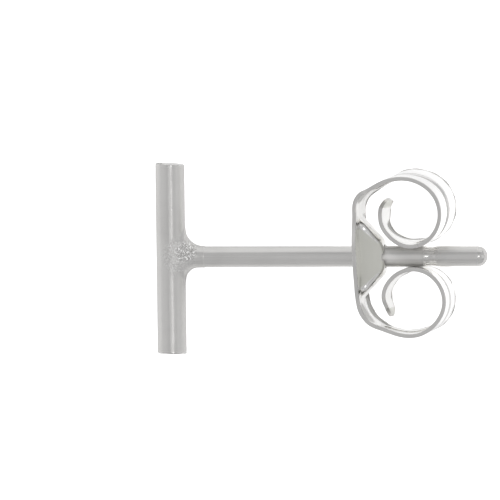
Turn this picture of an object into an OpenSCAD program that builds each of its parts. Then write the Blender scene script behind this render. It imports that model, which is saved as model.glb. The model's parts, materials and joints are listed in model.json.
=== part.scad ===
// Straight bar ear stud, lying on a surface as it comes to rest, with its
// butterfly back on the post. The bar and the post are soldered into one piece.
// The back is one strip of sheet: a pierced and dimpled plate in the middle,
// and both ends rolled into scrolls that grip the post between them.
// Lengths are in millimetres and angles in degrees.
// Along the post, a place is its distance from the bar's axis.

/* [Bar] */
// Diameter of the bar
bar_d = 1.08; // [1:0.02:1.3]
// Length of the bar
bar_l = 7.05; // [6.5:0.05:14]
// Distance from the middle of the bar up to the post
post_offset = 0.065; // [0:0.005:0.2]

/* [Post] */
// Diameter of the post
post_d = 0.8; // [0.76:0.01:0.82]
// Place of the post's tip
post_l = 11.87; // [11.7:0.01:13]
// Height of the low dome that ends the post
tip_h = 0.29; // [0.1:0.01:0.3]
// Place of the middle of the friction groove
groove_at = 9.77; // [9.5:0.01:9.8]
// Length of the friction groove
groove_l = 0.6; // [0.4:0.05:0.7]
// Depth of the friction groove
groove_depth = 0.05; // [0.02:0.005:0.08]
// Length of the low ridge beside the groove, on the side of the tip
ridge_l = 0.5; // [0.3:0.05:0.6]
// Height of that ridge
ridge_h = 0.012; // [0.005:0.001:0.015]

/* [Solder joint] */
// Place on the post where the solder runs out
solder_end = 1.15; // [0.9:0.05:1.4]
// Reach of the solder beyond the post's side, inside the bar's surface
solder_reach = 0.83; // [0.5:0.01:1]

/* [Butterfly back] */
// Thickness of the sheet
sheet_t = 0.155; // [0.14:0.005:0.17]
// Place of the plate's face that bears on the ear
plate_at = 7.07; // [6:0.01:7.1]
// Width of the plate
plate_w = 3.44; // [3.2:0.02:3.8]
// Width of the neck between the plate and each scroll
neck_w = 2.16; // [1.9:0.02:2.4]
// Width of the scrolls
scroll_w = 2.8; // [2.6:0.02:3]
// Width of the upper scroll at its inner end
upper_end_w = 1.64; // [1.4:0.02:2]
// Width of the lower scroll at its inner end
lower_end_w = 2; // [1.4:0.02:2.2]
// Diameter of the hole for the post
hole_d = 0.86; // [0.85:0.01:0.9]
// Length of the dimple round the hole, along the bar, at the plate
dimple_d = 3.15; // [2.8:0.05:3.15]
// Width of the dimple between its two flat sides, at the plate
dimple_w = 1.22; // [1.18:0.02:1.4]
// Height of the dimple above the plate
dimple_h = 0.84; // [0.7:0.02:0.9]
// Gap between the post and each scroll
grip_gap = 0.025; // [0.02:0.005:0.05]

/* [Hidden] */
$fn = 96;

bar_r = bar_d / 2;
post_r = post_d / 2;
hole_r = hole_d / 2;

// The stud lies on the bar's side and on the edge of the plate, which lifts the post
rest_reach = norm([plate_at, plate_w / 2]);
tilt = atan2(plate_w / 2, plate_at) - asin(bar_r / rest_reach);

// A dome is a cap of a ball of this radius
tip_ball_r = (pow(post_r, 2) + pow(tip_h, 2)) / (2 * tip_h);

// The origin is on the surface, under the middle of the whole stud
high_x = (post_l - tip_ball_r) * cos(tilt) + tip_ball_r;
middle_x = (high_x - bar_r) / 2;

// Points in each rounded stretch of the post's outline
OUTLINE_STEPS = 8;
groove_start = groove_at - groove_l / 2;
groove_end = groove_at + groove_l / 2;

// Inside the bar, where the solder's outline starts
solder_start = bar_r * 0.7;
// The solder stays within the bar's width, and narrows to the post's
solder_half_w = bar_r * 0.9;
solder_sink = 0.01;

// Columns of the tables of stretches: length along the middle of the sheet,
// and turn towards the post's tip
LENGTH = 0;
TURN = 1;
// The strip from the middle of the plate to the inner end of the upper scroll
upper_stretches = [
    [1.10, -8],  // plate, from its middle, leaning towards the bar
    [1.65, 9],   // plate, back to square, as far as the neck
    [0.80, 60],  // bend over the neck
    [0.75, -2],  // rise to the scroll
    [0.65, 23],  // start of the scroll
    [1.35, 51],  // top
    [1.85, 85],  // side away from the plate
    [2.20, 103], // side against the post
    [0.50, 38],  // side towards the plate
    [0.75, 6]    // inner end
];
// The same for the lower scroll, in mirror image
lower_stretches = [
    [1.05, -2],  // plate, from its middle
    [0.60, 15],  // plate, turning to the neck
    [1.30, 58],  // bend over the neck
    [0.60, 7],   // slope to the scroll
    [0.85, 27],  // start of the scroll
    [1.20, 53],  // bottom
    [1.55, 77],  // side away from the plate
    [2.10, 101], // side against the post
    [0.60, 46],  // side towards the plate
    [0.50, -11]  // inner end
];
// Largest turn from one point of the strip's outline to the next
TURN_STEP = 6;
// The strip leaves the middle of the plate square to the post
FIRST_HEADING = 90;
sheet_middle = plate_at + sheet_t / 2;
// Distance from the post's axis to the middle of the sheet where a scroll grips
grip_v = post_r + grip_gap + sheet_t / 2;

// Half the length of the plate's round outline
plate_half_l = 1.7;
// Points in half of that outline
PLATE_STEPS = 12;
// Places where the necks start and end to widen into the scrolls
flare_start = plate_at + 0.4;
flare_end = plate_at + 1;
// Places between which a scroll narrows beside the post
taper_start = plate_at + 3;
taper_end = plate_at + 0.85;
// Distance from the post's axis above which the inner end narrows further
end_taper_v = 1;
// Half width of a scroll at that distance
end_taper_half_w = 0.94;
// Reach of the inner ends along the post, from taper_end
end_reach = 0.85;
// Length and half width of the tip that is cut to a blunt point
point_l = 0.2;
point_half_w = 0.45;
// Larger than any distance in the back
BEYOND = 4;

// The dimple is a cone with two flat sides, almost square to the plate, and a flat top
rim_w = 0.19;
// Half width between the flat sides at the top
dimple_top_half_w = 0.58;
dimple_start = plate_at + sheet_t;
dimple_top = dimple_start + dimple_h;
dimple_slope = (dimple_d / 2 - hole_r - rim_w) / dimple_h;
// How far apart the two faces of its wall are, along the post
dimple_wall = sheet_t * sqrt(1 + pow(dimple_slope, 2)) / dimple_slope;
side_slope = (dimple_w / 2 - dimple_top_half_w) / dimple_h;
// How far apart the two faces of a flat side are, across the post
side_wall = sheet_t * sqrt(1 + pow(side_slope, 2));
// The dimple's root is sunk this far into the plate
dimple_sink = 0.07;
// A cutter passes this far out of what it cuts
CUT = 0.1;

// Smooth hump from 0 to 1 and back to 0, as f goes from 0 to 1
function hump(f) = (1 - cos(360 * f)) / 2;

// Half width of the solder at a place along the post, seen along the bar's width
function solder_r(at) =
    post_r - solder_sink + solder_reach
    * pow((solder_end - at) / (solder_end - solder_start), 2);

// End of an arc of length l that starts at p with heading h and turns by t
function arc_end(p, h, l, t) =
    let (r = l / (t * PI / 180))
    p + r * [sin(h) - sin(h - t), cos(h - t) - cos(h)];

// Stations along a strip, each [point, heading], from p with heading h
function stations(rows, p, h, i = 0) =
    i == len(rows) ? [[p, h]] :
    let (
        l = rows[i][LENGTH],
        t = rows[i][TURN],
        n = ceil(abs(t) / TURN_STEP)
    )
    concat(
        [for (k = [0:n - 1]) [k == 0 ? p : arc_end(p, h, l * k / n, t * k / n), h - t * k / n]],
        stations(rows, arc_end(p, h, l, t), h - t, i + 1)
    );

// Radius of the dimple's outer face at a place along the post
function dimple_r(at) = hole_r + rim_w + dimple_slope * (dimple_top - at);

// Half width between the dimple's flat sides at a place along the post
function side_half_w(at) = dimple_top_half_w + side_slope * (dimple_top - at);

// A station moved off the middle of the sheet by d, to the left of its heading
function beside(q, d) = q[0] + d * [-sin(q[1]), cos(q[1])];

// Stretches with the plate made longer or shorter, so that the scroll grips at grip_v
function fitted(rows) =
    let (
        s = stations(rows, [0, 0], FIRST_HEADING),
        gripping = [for (q = s) if (q[0].x > flare_end - plate_at) q[0].y],
        lift = grip_v - min(gripping)
    )
    concat(
        [[rows[0][LENGTH] + lift, rows[0][TURN]]],
        [for (i = [1:len(rows) - 1]) rows[i]]
    );

upper_strip = stations(fitted(upper_stretches), [sheet_middle, 0], FIRST_HEADING);
lower_strip = stations(fitted(lower_stretches), [sheet_middle, 0], FIRST_HEADING);
upper_tip_v = upper_strip[len(upper_strip) - 1][0].y;
lower_tip_v = lower_strip[len(lower_strip) - 1][0].y;

// Lays the stud on the surface: X becomes the post's axis, Y stays along the bar
module lying() {
    translate([-middle_x, post_offset, bar_r]) rotate([0, -tilt, 0]) children();
}

// Turns a shape about Z into one about the post's axis
module along_post() {
    rotate([0, 90, 0]) children();
}

module bar() {
    translate([-middle_x, 0, bar_r])
        rotate([90, 0, 0])
            cylinder(d = bar_d, h = bar_l, center = true);
}

module post() {
    groove = [for (k = [0:OUTLINE_STEPS])
        [post_r - groove_depth * hump(k / OUTLINE_STEPS),
         groove_start + groove_l * k / OUTLINE_STEPS]];
    ridge = [for (k = [1:OUTLINE_STEPS])
        [post_r + ridge_h * hump(k / OUTLINE_STEPS),
         groove_end + ridge_l * k / OUTLINE_STEPS]];
    dome_angle = asin(post_r / tip_ball_r);
    dome = [for (k = [0:OUTLINE_STEPS])
        let (a = dome_angle * (1 - k / OUTLINE_STEPS))
        [tip_ball_r * sin(a), post_l - tip_ball_r * (1 - cos(a))]];
    along_post() rotate_extrude()
        polygon(concat([[0, 0], [post_r, 0]], groove, ridge, dome));
}

module solder() {
    outline = [for (k = [0:OUTLINE_STEPS])
        let (at = solder_start + (solder_end - solder_start) * k / OUTLINE_STEPS)
        [solder_r(at), at]];
    intersection() {
        along_post() rotate_extrude()
            polygon(concat([[0, 0], [solder_r(solder_start), 0]], outline, [[0, solder_end]]));
        rotate([90, 0, 0]) linear_extrude(height = BEYOND, center = true)
            polygon([
                [0, -solder_half_w], [solder_end, solder_sink - post_r],
                [solder_end, post_r - solder_sink], [0, solder_half_w]
            ]);
    }
}

// The bar, with the post soldered to its side, near its middle
module bar_and_post() {
    color("silver") union() {
        bar();
        lying() {
            post();
            solder();
        }
    }
}

// The whole strip seen from the edge of the sheet, as wide as the plate
module rolled_strip() {
    mirrored = [for (q = lower_strip) [[q[0].x, -q[0].y], -q[1]]];
    half = sheet_t / 2;
    outer = [for (i = [len(mirrored) - 1:-1:1]) beside(mirrored[i], -half)];
    inner = [for (i = [1:len(mirrored) - 1]) beside(mirrored[i], half)];
    linear_extrude(height = plate_w, center = true)
        polygon(concat(
            outer,
            [for (q = upper_strip) beside(q, half)],
            [for (i = [len(upper_strip) - 1:-1:0]) beside(upper_strip[i], -half)],
            inner
        ));
}

// Half width of the plate and its necks, at the distance v from the post's axis
function plate_half_w(v) =
    v >= plate_half_l ? neck_w / 2 :
    neck_w / 2 + (plate_w - neck_w) / 2 * hump(0.5 + 0.5 * v / plate_half_l);

// The outline that the sheet was stamped to, as far as the plate and its necks
module plate_blank() {
    side = [for (k = [-PLATE_STEPS:PLATE_STEPS])
        let (v = plate_half_l * k / PLATE_STEPS)
        [v, plate_half_w(abs(v))]];
    edge = concat([[-BEYOND, neck_w / 2]], side, [[BEYOND, neck_w / 2]]);
    translate([plate_at - 1, 0, 0])
        rotate([90, 0, 90])
            linear_extrude(height = flare_start - plate_at + 1)
                polygon(concat(edge, [for (i = [len(edge) - 1:-1:0]) [edge[i].x, -edge[i].y]]));
}

// The same for the scrolls, which are wider than the necks
module scroll_blank() {
    edge = [
        [flare_start - CUT, neck_w / 2], [flare_start, neck_w / 2],
        [flare_end, scroll_w / 2], [plate_at + BEYOND, scroll_w / 2]
    ];
    rotate([90, 0, 0])
        linear_extrude(height = 2 * BEYOND, center = true)
            polygon(concat(edge, [for (i = [len(edge) - 1:-1:0]) [edge[i].x, -edge[i].y]]));
}

// Cutters that narrow the inner part of the upper scroll, from one edge of the sheet
module end_cutters(end_w, tip_v) {
    translate([0, end_taper_v, 0])
        rotate([90, 0, 0])
            linear_extrude(height = end_taper_v)
                polygon([
                    [taper_end, end_taper_half_w - CUT / 2], [taper_start, scroll_w / 2],
                    [taper_start, BEYOND], [taper_end, BEYOND]
                ]);
    translate([taper_end, 0, 0])
        rotate([90, 0, 90])
            linear_extrude(height = end_reach)
                polygon([
                    [end_taper_v, end_taper_half_w], [tip_v - point_l, end_w / 2],
                    [tip_v, point_half_w], [tip_v + CUT, point_half_w],
                    [tip_v + CUT, BEYOND], [end_taper_v, BEYOND]
                ]);
}

// The room between the dimple's two flat sides, with both moved inwards by inset
module between_sides(inset) {
    low = plate_at - 2 * CUT;
    high = dimple_top + 2 * CUT;
    rotate([90, 0, 0])
        linear_extrude(height = 2 * BEYOND, center = true)
            polygon([
                [low, side_half_w(low) - inset], [high, side_half_w(high) - inset],
                [high, inset - side_half_w(high)], [low, inset - side_half_w(low)]
            ]);
}

// The dimple pressed out of the plate, still solid
module dimple() {
    root = dimple_start - dimple_sink;
    intersection() {
        along_post() rotate_extrude()
            polygon([[0, root], [dimple_r(root), root], [dimple_r(dimple_top), dimple_top], [0, dimple_top]]);
        between_sides(0);
    }
}

// The hollow of the dimple, and the hole that pierces its top
module dimple_hollow() {
    mouth = plate_at - CUT;
    roof = dimple_top - sheet_t;
    intersection() {
        along_post() rotate_extrude()
            polygon([
                [0, mouth], [dimple_r(mouth + dimple_wall), mouth],
                [dimple_r(roof + dimple_wall), roof], [0, roof]
            ]);
        between_sides(side_wall);
    }
    translate([mouth, 0, 0]) along_post()
        cylinder(r = hole_r, h = dimple_top + CUT - mouth);
}

// One strip of sheet with its plate, dimple, hole and two scrolls
module butterfly_back() {
    color("silver") lying() difference() {
        union() {
            intersection() {
                rolled_strip();
                union() {
                    plate_blank();
                    scroll_blank();
                }
            }
            dimple();
        }
        dimple_hollow();
        for (edge = [0, 1]) {
            mirror([0, 0, edge]) end_cutters(upper_end_w, upper_tip_v);
            mirror([0, 0, edge]) mirror([0, 1, 0]) end_cutters(lower_end_w, lower_tip_v);
        }
    }
}

bar_and_post();
butterfly_back();
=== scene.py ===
"""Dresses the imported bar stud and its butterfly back, lying on a white surface.

Two pieces stand for the two CAD nodes. The stud is one smooth surface, pulled onto a
formula for the drawn bar, the drawn post and the solder between them. The back is one
sheet, laid out flat round its hole and rolled along the line that the CAD model follows,
with the dimple and the grooves pressed into it. A place on the stud is given as u along
the post, v along the bar and w across both; w grows towards the camera. A place on the
sheet is s along it, negative on the lower half, and w across it. Lengths are in
millimetres until a mesh is handed over in metres.
"""

import json
import math

import bpy
import numpy as np
from mathutils import Matrix, Vector, noise


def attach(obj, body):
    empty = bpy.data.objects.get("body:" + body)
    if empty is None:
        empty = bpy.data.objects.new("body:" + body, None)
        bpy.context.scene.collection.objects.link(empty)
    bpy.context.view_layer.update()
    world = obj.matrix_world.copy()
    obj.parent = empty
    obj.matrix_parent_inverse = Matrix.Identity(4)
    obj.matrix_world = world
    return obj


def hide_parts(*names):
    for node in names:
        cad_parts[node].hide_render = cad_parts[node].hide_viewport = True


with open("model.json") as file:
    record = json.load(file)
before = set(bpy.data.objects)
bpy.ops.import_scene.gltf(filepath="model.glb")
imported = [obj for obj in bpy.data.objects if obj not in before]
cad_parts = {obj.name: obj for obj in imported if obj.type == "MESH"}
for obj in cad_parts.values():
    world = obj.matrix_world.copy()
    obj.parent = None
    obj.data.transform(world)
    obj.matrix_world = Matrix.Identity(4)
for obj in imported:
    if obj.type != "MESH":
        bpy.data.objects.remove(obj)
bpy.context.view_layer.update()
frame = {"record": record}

MM = 0.001

# The bar
BAR_R = 0.54
BAR_L = 7.05
BAR_EDGE_R = 0.045
# Distance from the middle of the bar up to the post
POST_OFFSET = 0.065
# Slope of the sawn ends, towards the post's tip
TOP_SLOPE = -0.063
BOTTOM_SLOPE = 0.03
# A burr on each rim: its angle round the bar, from the side of the tip, and its height,
# its width as an angle, how far in from the bar's side it is highest, and its thickness
BURR_TOP = math.radians(134)
BURR_BOTTOM = math.radians(-10)
BURR_H = 0.045
BURR_ANGLE = 0.2
BURR_IN = 0.02
BURR_T = 0.07
# The waves that the saw left round each rim: their number and their height
RIM_WAVES = 5
RIM_WAVE_H = 0.006

# The post. A place along it is a distance from the bar's axis
POST_R = 0.4
POST_START = 0.2
POST_L = 11.87
TIP_H = 0.29
TIP_EDGE_R = 0.09
GROOVE_AT = 9.77
GROOVE_L = 0.6
GROOVE_DEPTH = 0.05
RIDGE_L = 0.5
RIDGE_H = 0.012
# Radius of the corner between the post and the bar, under the solder
WIRE_JOIN = 0.05
# Where the back's grip polished the post, and where the post is also painted lighter,
# standing in for light that the shade between the scrolls takes away; and how gradually
# that starts and ends
SLID_AND_LIT_FROM = 7.7
SLID_AND_LIT_TO = 9.6
SLID_AND_LIT_FADE = 0.3
# How far in from the post's tip and the bar's ends the metal was worked smooth, and how
# gradually that starts; and how far past the groove's middle, in halves of its length
TIP_SMOOTH = 0.4
TIP_SMOOTH_FADE = 0.15
RIM_SMOOTH = 0.09
RIM_SMOOTH_FADE = 0.04
GROOVE_SMOOTH = 1.3

# The solder: how far it flares along the bar above and below the post, the height over
# which the one goes over into the other, its half width at the bar and at its end, and
# where it starts and ends along the post
FLARE_UP = 0.7
FLARE_DOWN = 0.52
FLARE_TURN = 0.3
SOLDER_HIGH = 0.5
SOLDER_LOW = 0.398
SOLDER_START = 0.12
SOLDER_END = 1.25
SOLDER_JOIN = 0.06
# Grains in the solder, thick in a spot and thin in a patch round it: (u, v) of the middle
# of each, its half length along the post and along the bar, its strength in the middle
# before that is cut off at 1, and the loss of strength from there to its rim
GRAIN_SPOT = (0.62, 0.2, 0.36, 0.34, 2, 1.4)
GRAIN_PATCH = (0.36, 0.06, 0.62, 0.66, 2.4, 1.9)
PATCH_SHARE = 0.4
GRAIN_H = 0.024
# Noise for the grains: lumps to a millimetre, seed and share
GRAIN_NOISES = [(10, 1, 0.5), (21, 2, 1)]
# Below this height beside the post the grains are half as strong
GRAIN_LOW_W = -0.1

# The butterfly back
SHEET_T = 0.155
EDGE_R = 0.032
PLATE_AT = 7.07
PLATE_HALF_W = 1.72
PLATE_HALF_L = 1.7
NECK_HALF_W = 1.08
SCROLL_HALF_W = 1.4
SCROLL_START = PLATE_AT + 1
HOLE_R = 0.43
GRIP_GAP = 0.025
# Distance along the sheet that is beyond the dimple and short of the scrolls
PLATE_REACH = 2.2
# The dimple, with the rounding of its top's rim
DIMPLE_H = 0.84
DIMPLE_TOP_R = 0.62
DIMPLE_TOP_HALF_W = 0.48
TOP_BLEND = 0.04
# Growth of the dimple's radius and half width for each mm down from its top, before
# its sides are drawn steep
CONE_SLOPE = 1.137
SIDE_SLOPE = 0.679
# The middle of the slanting sheet lies lower under its outer face than that of the top
CONE_DROP = 0.026
SIDE_DROP = 0.061
FOOT_BLEND = 0.12
CREASE_BLEND = 0.09
# Places across the sheet where the dimple's sides start and end before they are drawn
# steep, and after, both at the middle of the sheet
FLAT_TOP_W = 0.439
FLAT_FOOT_W = 1.009
STEEP_TOP_W = 0.5025
STEEP_FOOT_W = 0.5325
# Distance v from the post where the drawing ends, and over which it fades out
STEEP_END = 1.6
STEEP_FADE = 0.6
# Groove pressed into the outside of both scrolls: its middle across the sheet, and how
# much nearer to the camera it is on the upper scroll's outer turn, up to a place there
CREASE_AT = 0.04
CREASE_TOP = 0.3
CREASE_TOP_END = 6.2
CREASE_TOP_FADE = 2.4
CREASE_HALF_W = 0.25
CREASE_DEPTH = 0.06
# Width of the slope at each side of the groove
UPPER_FLANK = 0.055
LOWER_FLANK = 0.12
# The groove starts over the neck, ends short of the inner end, and fades in and out
CREASE_START = 2.6
CREASE_STOP = 1.9
CREASE_FADE_IN = 0.8
CREASE_FADE_OUT = 1.2
# Height of the slow waves in the rolled sheet, and where they start beside the plate
WAVE_H = 0.010
WAVE_START = 2
# How far the upper inner end is bent towards the post's tip, and the length of that bend
END_CURL = 0.16
END_CURL_L = 0.45
# How far the rounded inner ends reach past their farther and their nearer corners, the
# length over which the rows of points bend to that, and the length over which the ends
# get narrower, and how much
UPPER_TONGUE = (0.05, 0.3)
LOWER_TONGUE = (0.32, 0.32)
TONGUE_L = 1.1
TONGUE_ROUND = 0.6
TONGUE_NARROWING = 0.1

# Length along the middle of the sheet, and turn towards the post's tip in degrees
UPPER_STRETCHES = [
    (1.10, -8), (1.65, 9), (0.80, 60), (0.75, -2), (0.65, 23), (1.35, 51),
    (1.85, 85), (2.20, 103), (0.50, 38), (0.75, 6),
]
LOWER_STRETCHES = [
    (1.05, -2), (0.60, 15), (1.30, 58), (0.60, 7), (0.85, 27), (1.20, 53),
    (1.55, 77), (2.10, 101), (0.60, 46), (0.50, -11),
]
# Distance along the sheet from the plate's middle, and half width there
UPPER_WIDTHS = [
    (PLATE_HALF_L, NECK_HALF_W), (2.3, NECK_HALF_W), (3.2, SCROLL_HALF_W),
    (6.6, SCROLL_HALF_W), (9.3, 0.94), (10.8, 0.82),
]
LOWER_WIDTHS = [
    (PLATE_HALF_L, NECK_HALF_W), (2.2, NECK_HALF_W), (3.1, SCROLL_HALF_W),
    (6.4, SCROLL_HALF_W), (9.2, 1.04), (10.5, 1.0),
]
# The strip was rolled slightly askew: place along it, and how far it moves towards the
# tip and away from the post there, for each mm from its nearer edge to its farther one
UPPER_DRIFT = [
    (1.4, 0, 0), (2.2, 0.025, -0.05), (3.1, 0.145, 0.065), (4.6, 0.055, 0.03),
    (6.5, 0.045, 0.045), (8.0, 0.07, 0.035), (9.6, -0.015, -0.065), (10.35, 0.04, -0.03),
]
LOWER_DRIFT = [
    (1.4, 0, 0), (2.2, 0.025, -0.015), (3.1, 0.045, -0.09), (4.6, 0.025, 0.02),
    (6.5, -0.03, -0.015), (9.0, -0.05, -0.05),
]

rng = np.random.default_rng(7)


def unit(v):
    """Rows of v scaled to length 1."""
    return v / np.maximum(np.linalg.norm(v, axis=-1, keepdims=True), 1e-12)


def ease(x):
    """Smooth step from 0 to 1."""
    x = np.clip(x, 0, 1)
    return x * x * (3 - 2 * x)


def within(x, low, high, fade_in, fade_out):
    """0 outside low to high, and 1 inside, past the fade at each end."""
    return ease((x - low) / fade_in) * ease((high - x) / fade_out)


def hump(f):
    """From 0 up to 1 and back, as f goes from 0 to 1."""
    return np.where((f > 0) & (f < 1), (1 - np.cos(2 * math.pi * f)) / 2, 0)


def smooth_min(a, b, k):
    """The smaller of a and b, rounded over where they are within k of each other."""
    h = np.clip(0.5 + 0.5 * (b - a) / k, 0, 1)
    return b + (a - b) * h - k * h * (1 - h)


def smooth_max(a, b, k):
    """The larger of a and b, rounded over in the same way."""
    return -smooth_min(-a, -b, k)


def noise_at(points, scale, seed):
    """Smooth noise from -1 to 1 at each point, with lumps about 1 / scale across."""
    shift = Vector((seed * 7.13, seed * 3.71, seed * 5.37))
    return np.array([noise.noise(Vector(p) * scale + shift) for p in points])


# The post's line in the frame gives the place of everything else
pin = frame["record"]["mounts"][0]
POST_DIR = unit(np.array(pin["axis"], float))
pin_at = np.array(pin["pos_m"], float) / MM
BAR_AT = pin_at - POST_DIR * (pin_at[2] - BAR_R) / POST_DIR[2]
ACROSS_DIR = np.array([-POST_DIR[2], 0, POST_DIR[0]])
BAR_DIR = np.array([0.0, 1, 0])


def to_frame(uvw):
    """Points given along the post, along the bar and across both, in the row frame."""
    return (BAR_AT + uvw[:, :1] * POST_DIR + uvw[:, 1:2] * BAR_DIR
            + uvw[:, 2:3] * ACROSS_DIR)


def from_frame(p):
    """The other way round."""
    q = p - BAR_AT
    return np.stack([q @ POST_DIR, q @ BAR_DIR, q @ ACROSS_DIR], 1)


def draw_lines(count, fewest, most, depth, wander):
    """Fine lines that drawing leaves along a wire: waves round it, each with its own depth."""
    waves = rng.integers(fewest, most, count)
    phases = rng.uniform(0, 2 * math.pi, count)
    depths = rng.uniform(0.3, 1, count) * depth
    return waves, phases, depths, wander


BAR_LINES = draw_lines(9, 6, 26, 0.0003, 0.25)
POST_LINES = draw_lines(8, 4, 16, 0.0012, 0.35)


def lines_height(angle, along, lines):
    """Height of the drawn lines at an angle round a wire and a place along it."""
    waves, phases, depths, wander = lines
    phase = waves * angle[:, None] + phases + np.sin(along[:, None] * wander + phases)
    return (np.sin(phase) * depths).sum(1)


def bar_distance(p):
    """Distance of points in the frame from the bar's surface, negative inside."""
    q = p - BAR_AT
    along = q @ BAR_DIR
    side = q - along[:, None] * BAR_DIR
    along = along + POST_OFFSET
    r = np.linalg.norm(side, axis=1)
    angle = np.arctan2(side[:, 2], side[:, 0])
    dr = r - BAR_R - lines_height(angle, along, BAR_LINES) + BAR_EDGE_R
    # The saw left each end a little askew, with a burr at one place on its rim
    top = along > 0
    burr_at = np.where(top, BURR_TOP, BURR_BOTTOM)
    off = np.abs((angle - burr_at + math.pi) % (2 * math.pi) - math.pi)
    rim = np.exp(-((r - BAR_R + BURR_IN) / BURR_T) ** 2)
    burr = BURR_H * rim * np.exp(-(off / BURR_ANGLE) ** 2)
    uneven = RIM_WAVE_H * rim * np.sin(angle * RIM_WAVES + 1)
    slope = np.where(top, TOP_SLOPE, BOTTOM_SLOPE) * side[:, 0]
    dl = np.abs(along) - BAR_L / 2 - burr - uneven - slope + BAR_EDGE_R
    outside = np.sqrt(np.maximum(dr, 0) ** 2 + np.maximum(dl, 0) ** 2)
    return outside + np.minimum(np.maximum(dr, dl), 0) - BAR_EDGE_R


def post_distance(uvw):
    """The same for the post, with its groove, ridge and domed tip."""
    u, v, w = uvw.T
    r = np.hypot(v, w)
    groove_end = GROOVE_AT + GROOVE_L / 2
    profile = (POST_R - GROOVE_DEPTH * hump((u - GROOVE_AT) / GROOVE_L + 0.5)
               + RIDGE_H * hump((u - groove_end) / RIDGE_L))
    side = r - profile - lines_height(np.arctan2(w, v), u, POST_LINES)
    ball_r = (POST_R ** 2 + TIP_H ** 2) / (2 * TIP_H)
    tip = np.hypot(np.maximum(u - POST_L + ball_r, 0), r) - ball_r
    return np.maximum(smooth_max(side, tip, TIP_EDGE_R), POST_START - u)


def flare(u, reach):
    """Half height of a fillet that runs from the bar's side out along the post."""
    x = np.clip((BAR_R + reach - u) / reach, 0, 1)
    # A little less than a quarter circle, which would end upright
    return SOLDER_LOW + reach * (1 - np.sqrt(1 - x ** 2 * 0.999))


def solder_distance(uvw):
    """The same for the solder."""
    u, v, w = uvw.T
    upper_share = ease(v / FLARE_TURN + 0.5)
    half_v = flare(u, FLARE_UP) * upper_share + flare(u, FLARE_DOWN) * (1 - upper_share)
    half_w = SOLDER_LOW + (SOLDER_HIGH - SOLDER_LOW) * ease((SOLDER_END - u) / SOLDER_END)
    level = np.sqrt((v / half_v) ** 2 + (w / half_w) ** 2)
    return np.maximum((level - 1) * half_w, np.maximum(u - SOLDER_END, SOLDER_START - u))


def stud_distance(p):
    """The same for the whole stud."""
    uvw = from_frame(p)
    wires = smooth_min(bar_distance(p), post_distance(uvw), WIRE_JOIN)
    return smooth_min(wires, solder_distance(uvw), SOLDER_JOIN)


def gradient(f, p, step=2e-4):
    """How f grows at each point, along each axis."""
    g = np.empty_like(p)
    for k in range(3):
        d = np.zeros(3)
        d[k] = step
        g[:, k] = (f(p + d) - f(p - d)) / (2 * step)
    return g


def pull_onto(f, p, rounds):
    """Moves points onto the surface where f is 0."""
    for _ in range(rounds):
        g = gradient(f, p)
        p = p - g * (f(p) / np.maximum((g ** 2).sum(1), 0.05))[:, None]
    return p


def tube(rings):
    """Closed quads over rings of points, with a fan of triangles on each end."""
    n, m = len(rings), len(rings[0])
    points = np.concatenate([*rings, rings[0].mean(0)[None], rings[-1].mean(0)[None]])
    faces = []
    for i in range(n - 1):
        for k in range(m):
            k2 = (k + 1) % m
            faces.append((i * m + k, i * m + k2, (i + 1) * m + k2, (i + 1) * m + k))
    for k in range(m):
        k2 = (k + 1) % m
        faces.append((n * m, k2, k))
        faces.append((n * m + 1, (n - 1) * m + k, (n - 1) * m + k2))
    return points, faces


# The tubes that the stud's surface starts from: points round each, where those along the
# post start, how far from the tip the last ring is and its radius, where the solder's
# ends, its flare and its half width; and the size of the quads that are made round them
ROUGH_SIDES = 48
ROUGH_START = 0.3
ROUGH_TIP_IN = 0.03
ROUGH_TIP_R = 0.2
ROUGH_SOLDER_END = 1.1
ROUGH_FLARE = 0.58
ROUGH_SOLDER_W = 0.45
STUD_VOXEL = 0.028


def rough_stud():
    """Three overlapping tubes near the stud's surface, to start from."""
    turn = np.linspace(0, 2 * math.pi, ROUGH_SIDES, endpoint=False)
    ring = np.outer(np.cos(turn), np.cross(BAR_DIR, [0, 0, 1])) + np.outer(np.sin(turn), [0, 0, 1])

    def section(u, half_v, half_w):
        return to_frame(np.stack([np.full(ROUGH_SIDES, u), np.cos(turn) * half_v,
                                  np.sin(turn) * half_w], 1))

    tubes = [
        tube([BAR_AT + BAR_DIR * (t - POST_OFFSET) + ring * BAR_R
              for t in np.linspace(-BAR_L / 2, BAR_L / 2, 15)]),
        tube([section(u, POST_R, POST_R) for u in np.linspace(ROUGH_START, POST_L - TIP_H, 12)]
             + [section(POST_L - ROUGH_TIP_IN, ROUGH_TIP_R, ROUGH_TIP_R)]),
        tube([section(u, flare(u, ROUGH_FLARE), ROUGH_SOLDER_W)
              for u in np.linspace(ROUGH_START, ROUGH_SOLDER_END, 12)]),
    ]
    points, faces, base = [], [], 0
    for p, f in tubes:
        points.append(p)
        faces += [tuple(i + base for i in face) for face in f]
        base += len(p)
    return np.concatenate(points), faces


def show(obj):
    """Puts an object in the scene."""
    bpy.context.scene.collection.objects.link(obj)
    return obj


def remeshed(points, faces, voxel):
    """One surface of even quads round overlapping shapes."""
    mesh = bpy.data.meshes.new("rough")
    mesh.from_pydata(points.tolist(), [], faces)
    obj = show(bpy.data.objects.new("rough", mesh))
    mod = obj.modifiers.new("remesh", "REMESH")
    mod.mode = "VOXEL"
    mod.voxel_size = voxel
    mod.adaptivity = 0
    made = obj.evaluated_get(bpy.context.evaluated_depsgraph_get()).to_mesh()
    co = np.empty(len(made.vertices) * 3)
    made.vertices.foreach_get("co", co)
    quads = [tuple(p.vertices) for p in made.polygons]
    bpy.data.objects.remove(obj)
    bpy.data.meshes.remove(mesh)
    return co.reshape(-1, 3), quads


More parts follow.
